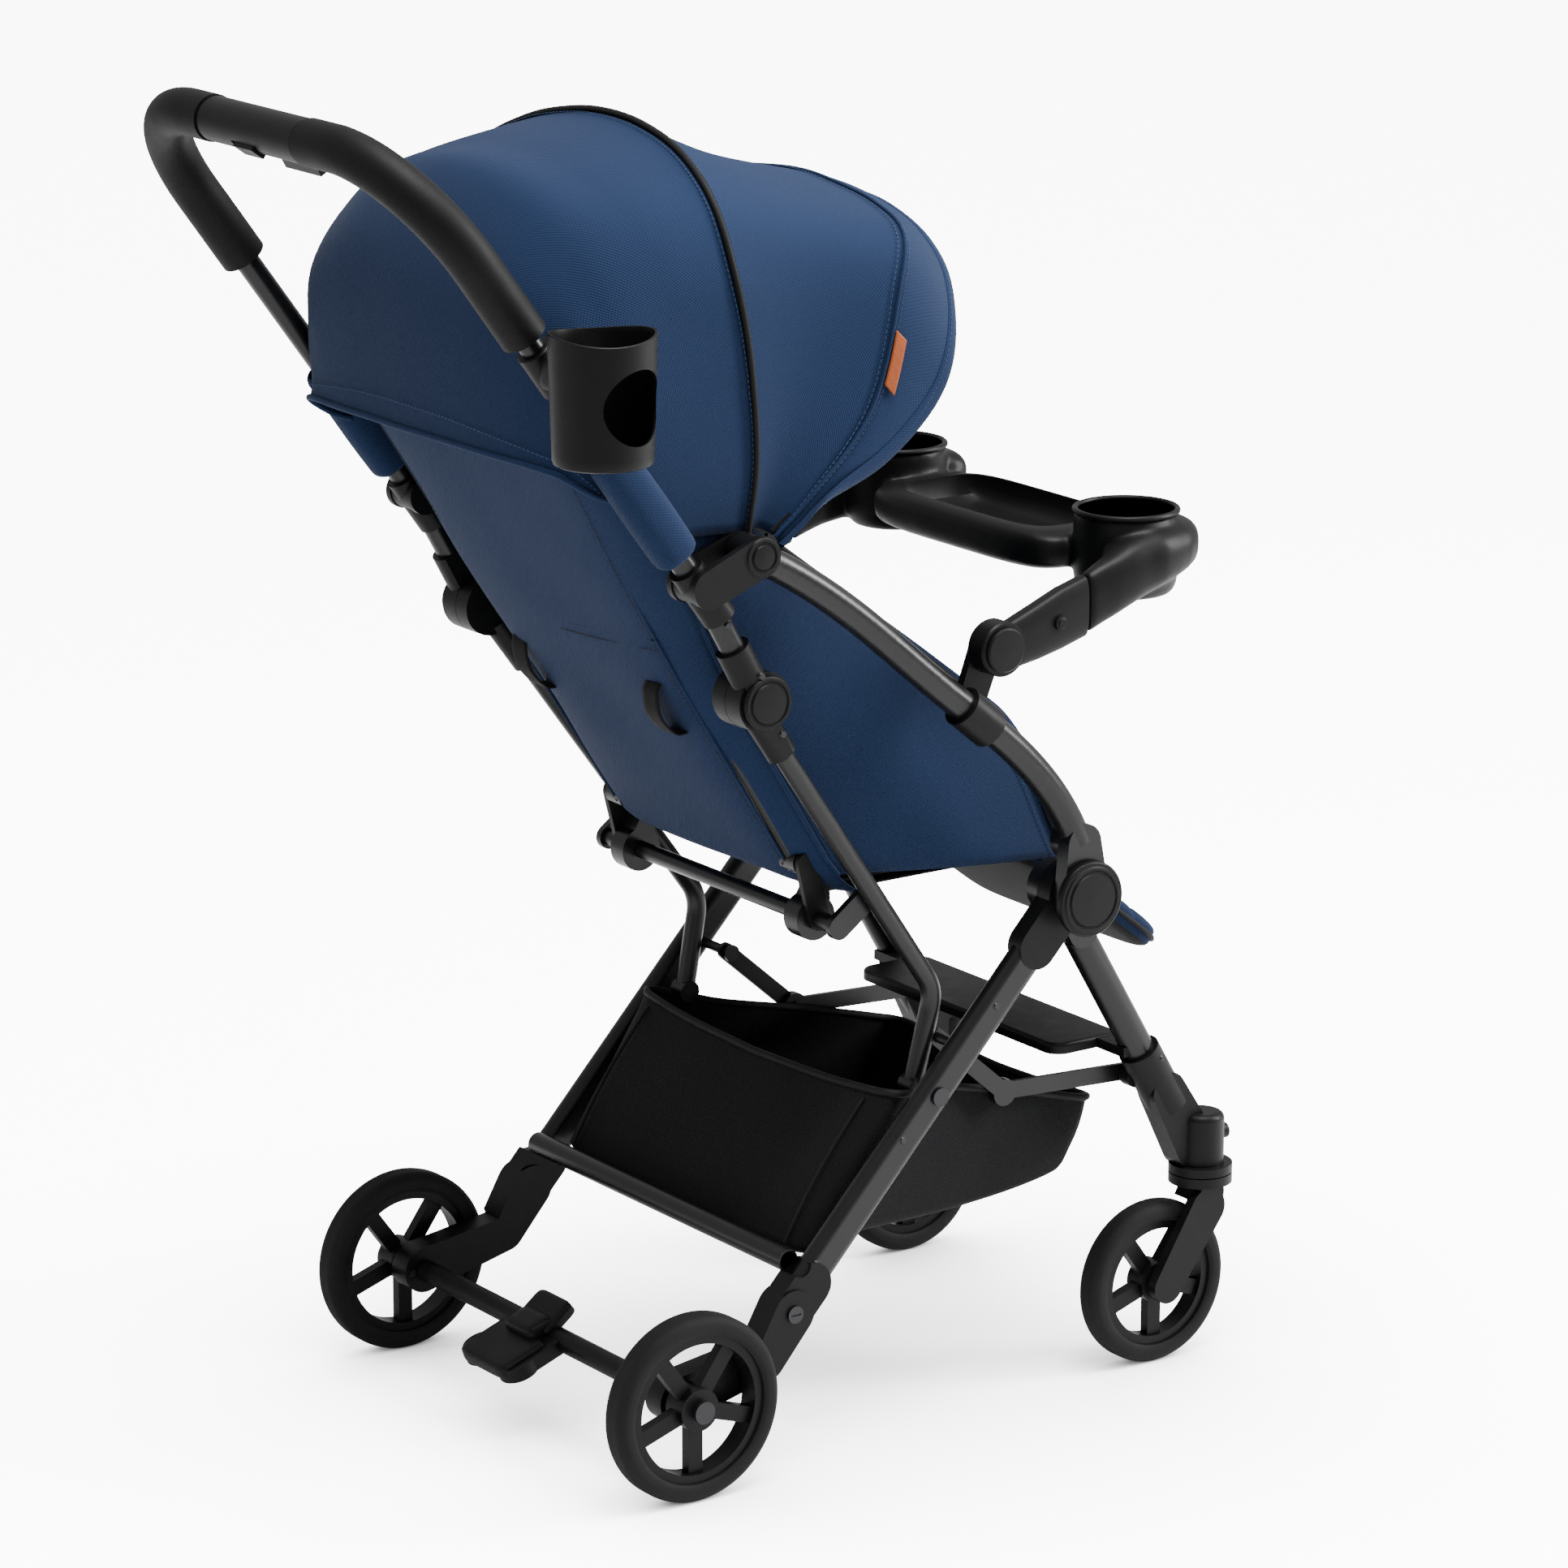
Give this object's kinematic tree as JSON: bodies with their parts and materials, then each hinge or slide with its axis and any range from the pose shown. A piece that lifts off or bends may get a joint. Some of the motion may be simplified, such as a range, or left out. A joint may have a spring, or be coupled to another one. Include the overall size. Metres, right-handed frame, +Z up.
{
  "type": "baby stroller",
  "caption": "Folding baby stroller with push handle, curved side rails, canopy, reclining seat, child tray, parent cup holder, basket and swivel front wheels.",
  "frame": {"origin": "on the floor, under the middle of the rear axle", "axes": "+X forward, +Y to the rider's left, +Z up"},
  "size_m": [0.801, 0.53, 1.068],
  "materials": {
    "tube_paint": "satin anthracite",
    "black_plastic": "fine matte",
    "steel": "black plated",
    "tyre": "matte foam rubber",
    "foam": "matte foam",
    "navy_cloth": "woven",
    "black_cloth": "woven"
  },
  "bodies": {
    "rear_frame": {"rear_legs": "tube_paint", "hub_knuckles": "black_plastic", "hub_covers": "black_plastic", "axle_and_pins": "steel", "rear_cross_tube": "tube_paint", "rear_castings": "black_plastic", "basket": "black_cloth"},
    "rear_wheel_left": {"rear_rim_left": "black_plastic", "rear_tyre_left": "tyre"},
    "rear_wheel_right": {"rear_rim_right": "black_plastic", "rear_tyre_right": "tyre"},
    "brake": {"brake_bar": "black_plastic"},
    "brake_pin_left_body": {"brake_pin_left": "steel"},
    "brake_pin_right_body": {"brake_pin_right": "steel"},
    "front_frame": {"front_legs": "tube_paint", "front_sockets": "black_plastic", "foot_board": "black_plastic"},
    "caster_left": {"caster_fork_left": "black_plastic"},
    "caster_right": {"caster_fork_right": "black_plastic"},
    "front_wheel_left": {"front_rim_left": "black_plastic", "front_tyre_left": "tyre"},
    "front_wheel_right": {"front_rim_right": "black_plastic", "front_tyre_right": "tyre"},
    "swivel_lock_left_body": {"swivel_lock_left": "black_plastic"},
    "swivel_lock_right_body": {"swivel_lock_right": "black_plastic"},
    "strut_rear_links": {"strut_rear": "tube_paint"},
    "strut_front_links": {"strut_front": "tube_paint"},
    "side_rails": {"side_rails": "tube_paint", "tray_clamps": "black_plastic", "canopy_rear": "navy_cloth"},
    "tray_arms": {"tray_arms": "black_plastic"},
    "tray": {"tray": "black_plastic"},
    "tray_button_left_body": {"tray_button_left": "black_plastic"},
    "tray_button_right_body": {"tray_button_right": "black_plastic"},
    "push_handle": {"handle_tube": "tube_paint", "handle_grips": "foam", "handle_housing": "black_plastic", "hinge_barrels": "black_plastic", "pivot_brackets": "black_plastic", "parent_cup_holder": "black_plastic"},
    "fold_button_body": {"fold_button": "black_plastic"},
    "fold_trigger_body": {"fold_trigger": "black_plastic"},
    "lower_frame": {"lower_tubes": "tube_paint", "lower_sockets": "black_plastic", "seat_cross_tube": "tube_paint"},
    "seat": {"seat_frame": "tube_paint", "seat_cushion": "navy_cloth", "seat_side_panels": "navy_cloth", "harness_buckle": "black_plastic"},
    "buckle_button_body": {"buckle_button": "black_plastic"},
    "recline_bracket": {"recline_brackets": "black_plastic"},
    "backrest": {"backrest_frame": "tube_paint", "backrest_pad": "navy_cloth", "harness_straps": "black_cloth"},
    "footrest": {"footrest_board": "black_plastic", "footrest_cover": "navy_cloth"},
    "canopy_mid": {"canopy_bow_mid": "black_plastic", "canopy_middle": "navy_cloth"},
    "canopy_front": {"canopy_bow_front": "black_plastic", "canopy_visor": "navy_cloth"}
  },
  "joints": [
    {"name": "frame_fold", "type": "hinge", "parent": "rear_frame", "child": "side_rails", "pos_m": [0.376, 0, 0.416], "axis": [0, -1, 0], "range_deg": [0, 67.08], "deforming": ["basket", "seat_cushion", "seat_side_panels", "backrest_pad", "harness_straps", "canopy_rear", "canopy_middle", "canopy_visor", "canopy_bow_mid", "canopy_bow_front"]},
    {"name": "front_leg_fold", "type": "hinge", "parent": "rear_frame", "child": "front_frame", "pos_m": [0.376, 0, 0.416], "axis": [0, 1, 0], "range_deg": [0, 45.05]},
    {"name": "handle_fold", "type": "hinge", "parent": "side_rails", "child": "push_handle", "pos_m": [0.0625, 0, 0.732], "axis": [0, 1, 0], "range_deg": [0, 127.13]},
    {"name": "lower_tube_fold", "type": "hinge", "parent": "push_handle", "child": "lower_frame", "pos_m": [0.07, 0, 0.618], "axis": [0, -1, 0], "range_deg": [0, 136.02]},
    {"name": "seat_fold", "type": "hinge", "parent": "lower_frame", "child": "seat", "pos_m": [0.172, 0, 0.415], "axis": [0, 1, 0], "range_deg": [0, 44.02]},
    {"name": "recline_bracket_fold", "type": "hinge", "parent": "seat", "child": "recline_bracket", "pos_m": [0.172, 0, 0.415], "axis": [0, 1, 0], "range_deg": [0, 40.05]},
    {"name": "tray_arm_fold", "type": "hinge", "parent": "side_rails", "child": "tray_arms", "pos_m": [0.294, 0, 0.627], "axis": [0, 1, 0], "range_deg": [0, 52.13]},
    {"name": "strut_rear_fold", "type": "hinge", "parent": "rear_frame", "child": "strut_rear_links", "pos_m": [0.2776, 0, 0.3036], "axis": [0, 1, 0], "range_deg": [0, 113]},
    {"name": "strut_front_fold", "type": "hinge", "parent": "strut_rear_links", "child": "strut_front_links", "pos_m": [0.344, 0, 0.246], "axis": [0, -1, 0], "range_deg": [0, 97.96]},
    {"name": "backrest_recline", "type": "hinge", "parent": "recline_bracket", "child": "backrest", "pos_m": [0.16, 0, 0.462], "axis": [0, -1, 0], "range_deg": [0, 52], "deforming": ["seat_side_panels", "canopy_rear"]},
    {"name": "footrest_tilt", "type": "hinge", "parent": "seat", "child": "footrest", "pos_m": [0.389, 0, 0.437], "axis": [0, -1, 0], "range_deg": [0, 50]},
    {"name": "canopy_open_middle", "type": "hinge", "parent": "side_rails", "child": "canopy_mid", "pos_m": [0.0625, 0, 0.732], "axis": [0, -1, 0], "range_deg": [0, 32.1]},
    {"name": "canopy_close", "type": "hinge", "parent": "canopy_mid", "child": "canopy_front", "pos_m": [0.0625, 0, 0.732], "axis": [0, -1, 0], "range_deg": [0, 34], "deforming": ["canopy_rear", "canopy_middle", "canopy_visor"]},
    {"name": "tray_slide", "type": "slide", "parent": "tray_arms", "child": "tray", "axis": [0.9583, 0, 0.2857], "range_m": [0, 0.06]},
    {"name": "tray_button_left", "type": "slide", "parent": "tray_arms", "child": "tray_button_left_body", "axis": [0, -1, 0], "range_m": [0, 0.003], "stiffness_N_per_m": 400},
    {"name": "rear_wheel_left_spin", "type": "hinge", "parent": "rear_frame", "child": "rear_wheel_left", "pos_m": [0, 0.2095, 0.0745], "axis": [0, 1, 0], "continuous": true},
    {"name": "caster_left_swivel", "type": "hinge", "parent": "front_frame", "child": "caster_left", "pos_m": [0.525, 0.172, 0.15], "axis": [0, 0, 1], "continuous": true},
    {"name": "front_wheel_left_spin", "type": "hinge", "parent": "caster_left", "child": "front_wheel_left", "pos_m": [0.479, 0.168, 0.0675], "axis": [0, 1, 0], "continuous": true},
    {"name": "swivel_lock_left_press", "type": "slide", "parent": "front_frame", "child": "swivel_lock_left_body", "axis": [-1, 0, 0], "range_m": [0, 0.004], "stiffness_N_per_m": 300},
    {"name": "tray_button_right", "type": "slide", "parent": "tray_arms", "child": "tray_button_right_body", "axis": [0, 1, 0], "range_m": [0, 0.003], "stiffness_N_per_m": 400},
    {"name": "rear_wheel_right_spin", "type": "hinge", "parent": "rear_frame", "child": "rear_wheel_right", "pos_m": [0, -0.2095, 0.0745], "axis": [0, 1, 0], "continuous": true},
    {"name": "caster_right_swivel", "type": "hinge", "parent": "front_frame", "child": "caster_right", "pos_m": [0.525, -0.172, 0.15], "axis": [0, 0, 1], "continuous": true},
    {"name": "front_wheel_right_spin", "type": "hinge", "parent": "caster_right", "child": "front_wheel_right", "pos_m": [0.479, -0.168, 0.0675], "axis": [0, 1, 0], "continuous": true},
    {"name": "swivel_lock_right_press", "type": "slide", "parent": "front_frame", "child": "swivel_lock_right_body", "axis": [-1, 0, 0], "range_m": [0, 0.004], "stiffness_N_per_m": 300},
    {"name": "brake_press", "type": "hinge", "parent": "rear_frame", "child": "brake", "pos_m": [0, 0, 0.0745], "axis": [0, -1, 0], "range_deg": [0, 22]},
    {"name": "brake_pin_left_slide", "type": "slide", "parent": "rear_frame", "child": "brake_pin_left_body", "axis": [0, 1, 0], "range_m": [0, 0.0051]},
    {"name": "brake_pin_right_slide", "type": "slide", "parent": "rear_frame", "child": "brake_pin_right_body", "axis": [0, -1, 0], "range_m": [0, 0.0051]},
    {"name": "fold_button_slide", "type": "slide", "parent": "push_handle", "child": "fold_button_body", "axis": [0, 1, 0], "range_m": [0, 0.004], "stiffness_N_per_m": 300},
    {"name": "fold_trigger_pull", "type": "slide", "parent": "push_handle", "child": "fold_trigger_body", "axis": [-0.5, 0, 0.866], "range_m": [0, 0.004], "stiffness_N_per_m": 300},
    {"name": "buckle_button_press", "type": "slide", "parent": "seat", "child": "buckle_button_body", "axis": [-1, 0, 0], "range_m": [0, 0.002], "stiffness_N_per_m": 300}
  ],
  "couplings": [
    {"joint": "front_leg_fold", "follows": "frame_fold", "ratio": 0.67088},
    {"joint": "handle_fold", "follows": "frame_fold", "ratio": 1.8945},
    {"joint": "lower_tube_fold", "follows": "frame_fold", "ratio": 2.0271},
    {"joint": "seat_fold", "follows": "frame_fold", "ratio": 0.65554},
    {"joint": "recline_bracket_fold", "follows": "frame_fold", "ratio": 0.59634},
    {"joint": "tray_arm_fold", "follows": "frame_fold", "ratio": 0.77637},
    {"joint": "strut_rear_fold", "follows": "frame_fold", "ratio": 1.6839},
    {"joint": "strut_front_fold", "follows": "frame_fold", "ratio": 1.4597},
    {"joint": "canopy_open_middle", "follows": "canopy_close", "ratio": 0.94118},
    {"joint": "brake_pin_left_slide", "follows": "brake_press", "m_per_rad": 0.01302},
    {"joint": "brake_pin_right_slide", "follows": "brake_press", "m_per_rad": 0.01302}
  ]
}
